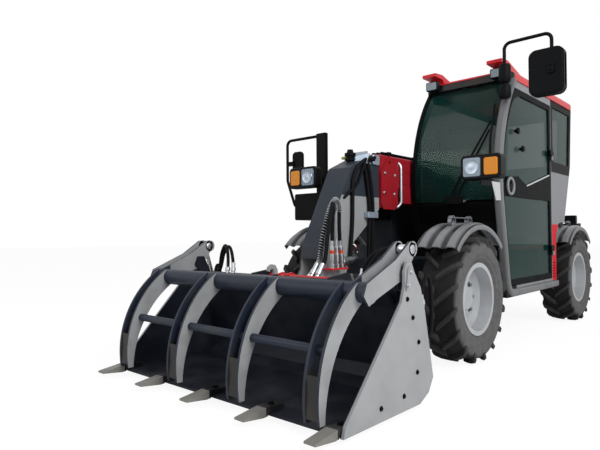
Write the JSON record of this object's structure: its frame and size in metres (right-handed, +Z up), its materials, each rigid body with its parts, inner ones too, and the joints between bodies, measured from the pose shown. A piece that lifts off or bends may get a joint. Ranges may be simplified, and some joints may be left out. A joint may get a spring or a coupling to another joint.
{
  "type": "telehandler with grapple bucket",
  "caption": "Compact telehandler with an offset telescopic boom, a glazed side cab and a grapple bucket; wheels steer and roll, and boom, bucket, grapple, door and hood move.",
  "frame": {"origin": "on the ground under the middle of the machine's box", "axes": "+X is forward, towards the bucket, +Y is the machine's left, where the cab is, and +Z is up"},
  "size_m": [4.92, 2.3, 2.3877],
  "materials": {
    "red_paint": "gloss enamel",
    "light_grey_paint": "satin enamel",
    "chassis_paint": "satin enamel",
    "black_paint": "satin enamel",
    "cast_iron": "painted casting",
    "rod_chrome": "ground and plated",
    "rim_silver": "satin enamel",
    "tyre_rubber": "moulded",
    "fender_plastic": "grained moulding",
    "glass": "tinted safety glass",
    "lamp_plastic": "moulded",
    "seat_fabric": "woven cover",
    "black_plastic": "grained moulding",
    "tooth_steel": "worn steel"
  },
  "bodies": {
    "chassis": {"chassis_frame": "chassis_paint", "boom_tower": "chassis_paint", "counterweight": "chassis_paint", "tow_hitch": "cast_iron", "front_axle": "cast_iron", "rear_axle": "cast_iron", "engine_bay": "chassis_paint", "engine_block": "cast_iron", "tool_box": "black_plastic", "cab_left_frame": "light_grey_paint", "cab_right_wall": "light_grey_paint", "cab_rear_wall": "light_grey_paint", "cab_front": "black_paint", "cab_floor": "black_paint", "cab_roof": "red_paint", "cab_glass": "glass", "seat": "seat_fabric", "steering_console": "black_plastic", "lamps": "lamp_plastic", "mirrors": "black_plastic"},
    "boom": {"boom_outer": "red_paint"},
    "boom_head": {"boom_inner": "light_grey_paint"},
    "tool": {"hitch": "red_paint", "bucket": "light_grey_paint", "bucket_teeth": "tooth_steel"},
    "grapple": {"grapple": "light_grey_paint"},
    "lift_barrel": {"lift_barrel": "black_paint"},
    "lift_rod": {"lift_rod": "rod_chrome"},
    "tilt_barrel": {"tilt_barrel": "black_paint"},
    "tilt_rod": {"tilt_rod": "rod_chrome"},
    "grapple_barrels": {"grapple_barrel": "black_paint"},
    "grapple_rods": {"grapple_rod": "rod_chrome"},
    "door": {"door_frame": "black_paint", "door_glass": "glass"},
    "hood": {"engine_hood": "red_paint"},
    "front_tie_rod": {"front_tie_rod": "cast_iron"},
    "rear_tie_rod": {"rear_tie_rod": "cast_iron"},
    "steer_fl": {"knuckle_fl": "cast_iron", "fender_fl": "fender_plastic"},
    "wheel_fl": {"tyre_fl": "tyre_rubber", "rim_fl": "rim_silver"},
    "steer_fr": {"knuckle_fr": "cast_iron", "fender_fr": "fender_plastic"},
    "wheel_fr": {"tyre_fr": "tyre_rubber", "rim_fr": "rim_silver"},
    "steer_rl": {"knuckle_rl": "cast_iron", "fender_rl": "fender_plastic"},
    "wheel_rl": {"tyre_rl": "tyre_rubber", "rim_rl": "rim_silver"},
    "steer_rr": {"knuckle_rr": "cast_iron", "fender_rr": "fender_plastic"},
    "wheel_rr": {"tyre_rr": "tyre_rubber", "rim_rr": "rim_silver"}
  },
  "joints": [
    {"name": "boom_lift", "type": "hinge", "parent": "chassis", "child": "boom", "pos_m": [-2.06, -0.2, 1.4], "axis": [0, -1, 0], "range_deg": [0, 60]},
    {"name": "boom_extend", "type": "slide", "parent": "boom", "child": "boom_head", "axis": [1, 0, 0], "range_m": [0, 1.4]},
    {"name": "tool_tilt", "type": "hinge", "parent": "boom_head", "child": "tool", "pos_m": [1.32, 0, 0.38], "axis": [0, 1, 0], "range_deg": [-40, 70]},
    {"name": "grapple_open", "type": "hinge", "parent": "tool", "child": "grapple", "pos_m": [1.758, 0, 0.705], "axis": [0, -1, 0], "range_deg": [0, 75]},
    {"name": "lift_barrel_swing", "type": "hinge", "parent": "chassis", "child": "lift_barrel", "pos_m": [-1.74, -0.2, 0.8], "axis": [0, -1, 0], "range_deg": [-0.05, 50.91]},
    {"name": "lift_rod_slide", "type": "slide", "parent": "lift_barrel", "child": "lift_rod", "axis": [0.9359, 0, 0.3522], "range_m": [-0.0001, 0.64894]},
    {"name": "tilt_barrel_swing", "type": "hinge", "parent": "boom_head", "child": "tilt_barrel", "pos_m": [0.58, -0.2, 1.08], "axis": [0, -1, 0], "range_deg": [-2.2, 3.81]},
    {"name": "tilt_rod_slide", "type": "slide", "parent": "tilt_barrel", "child": "tilt_rod", "axis": [0.8026, 0, -0.5965], "range_m": [-0.08164, 0.1428]},
    {"name": "grapple_barrel_swing", "type": "hinge", "parent": "tool", "child": "grapple_barrels", "pos_m": [1.505, 0, 0.3], "axis": [0, -1, 0], "range_deg": [-1.87, 0.05]},
    {"name": "grapple_rod_slide", "type": "slide", "parent": "grapple_barrels", "child": "grapple_rods", "axis": [0.3051, 0, 0.9523], "range_m": [-0.17102, 0.0001]},
    {"name": "door_swing", "type": "hinge", "parent": "chassis", "child": "door", "pos_m": [-1.2, 0.7025, 1.28], "axis": [0, 0, 1], "range_deg": [0, 85]},
    {"name": "hood_lift", "type": "hinge", "parent": "chassis", "child": "hood", "pos_m": [-0.685, -0.35, 1.2295], "axis": [-1, 0, 0], "range_deg": [0, 60]},
    {"name": "steer_fl", "type": "hinge", "parent": "chassis", "child": "steer_fl", "pos_m": [0.54, 0.5, 0.4425], "axis": [0, 0, 1], "range_deg": [-30, 30]},
    {"name": "steer_fr", "type": "hinge", "parent": "chassis", "child": "steer_fr", "pos_m": [0.54, -0.5, 0.4425], "axis": [0, 0, 1], "range_deg": [-30, 30]},
    {"name": "steer_rl", "type": "hinge", "parent": "chassis", "child": "steer_rl", "pos_m": [-1.865, 0.5, 0.4425], "axis": [0, 0, 1], "range_deg": [-30, 30]},
    {"name": "steer_rr", "type": "hinge", "parent": "chassis", "child": "steer_rr", "pos_m": [-1.865, -0.5, 0.4425], "axis": [0, 0, 1], "range_deg": [-30, 30]},
    {"name": "wheel_fl_spin", "type": "hinge", "parent": "steer_fl", "child": "wheel_fl", "pos_m": [0.54, 0.625, 0.4425], "axis": [0, 1, 0], "continuous": true},
    {"name": "wheel_fr_spin", "type": "hinge", "parent": "steer_fr", "child": "wheel_fr", "pos_m": [0.54, -0.625, 0.4425], "axis": [0, 1, 0], "continuous": true},
    {"name": "wheel_rl_spin", "type": "hinge", "parent": "steer_rl", "child": "wheel_rl", "pos_m": [-1.865, 0.625, 0.4425], "axis": [0, 1, 0], "continuous": true},
    {"name": "wheel_rr_spin", "type": "hinge", "parent": "steer_rr", "child": "wheel_rr", "pos_m": [-1.865, -0.625, 0.4425], "axis": [0, 1, 0], "continuous": true},
    {"name": "front_tie_slide", "type": "slide", "parent": "chassis", "child": "front_tie_rod", "axis": [0, 1, 0], "range_m": [-0.0751, 0.0751]},
    {"name": "rear_tie_slide", "type": "slide", "parent": "chassis", "child": "rear_tie_rod", "axis": [0, 1, 0], "range_m": [-0.0751, 0.0751]}
  ],
  "couplings": [
    {"joint": "lift_barrel_swing", "follows": "boom_lift", "ratio": 0.84774},
    {"joint": "lift_rod_slide", "follows": "boom_lift", "m_per_rad": 0.6196},
    {"joint": "tilt_barrel_swing", "follows": "tool_tilt", "ratio": 0.053711},
    {"joint": "tilt_rod_slide", "follows": "tool_tilt", "m_per_rad": 0.1168},
    {"joint": "grapple_barrel_swing", "follows": "grapple_open", "ratio": -0.024251},
    {"joint": "grapple_rod_slide", "follows": "grapple_open", "m_per_rad": -0.13057},
    {"joint": "steer_fr", "follows": "steer_fl", "ratio": 1},
    {"joint": "steer_rl", "follows": "steer_fl", "ratio": -1},
    {"joint": "steer_rr", "follows": "steer_fl", "ratio": -1},
    {"joint": "front_tie_slide", "follows": "steer_fl", "m_per_rad": -0.14324},
    {"joint": "rear_tie_slide", "follows": "steer_fl", "m_per_rad": -0.14324}
  ]
}
